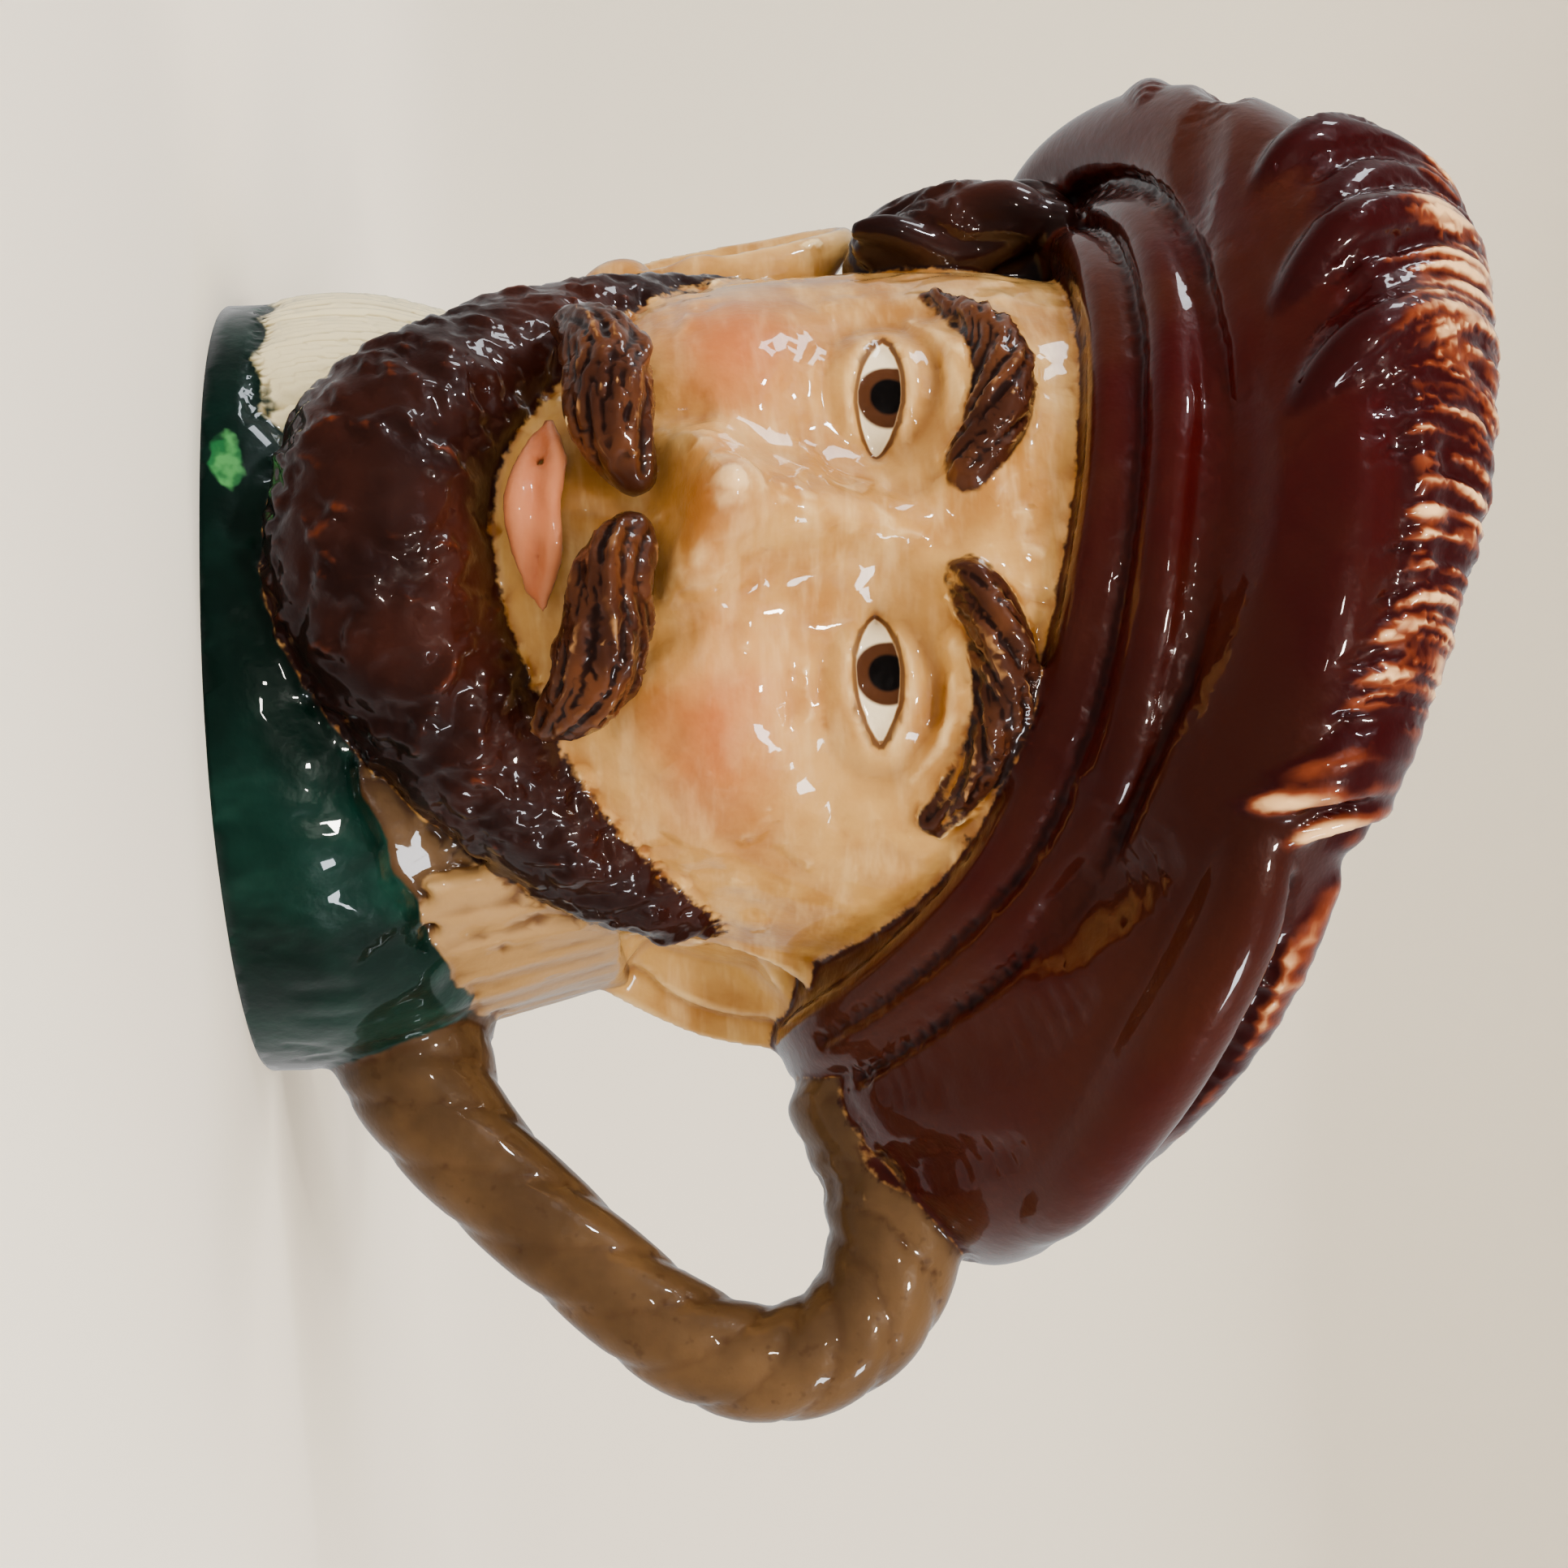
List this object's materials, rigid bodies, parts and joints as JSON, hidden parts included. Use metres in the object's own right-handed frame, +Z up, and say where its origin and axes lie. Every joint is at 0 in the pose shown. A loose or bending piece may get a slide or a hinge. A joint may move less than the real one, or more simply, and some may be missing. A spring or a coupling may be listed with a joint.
{
  "type": "character jug",
  "caption": "Glazed earthenware character jug: a bearded man's head under a tilted plumed hat, open at the top, with a twisted loop handle.",
  "frame": {"origin": "middle of the object's extent in x and y, on the plane of the foot", "axes": "+Z up out of the mouth, +X towards the handle, -Y towards the face"},
  "size_m": [0.1672, 0.1316, 0.1478],
  "materials": {
    "glaze": "glossy painted underglaze colours: flesh, maroon, dark brown, dark green, cream and tan"
  },
  "bodies": {
    "root": {"jug": "glaze"}
  },
  "joints": []
}
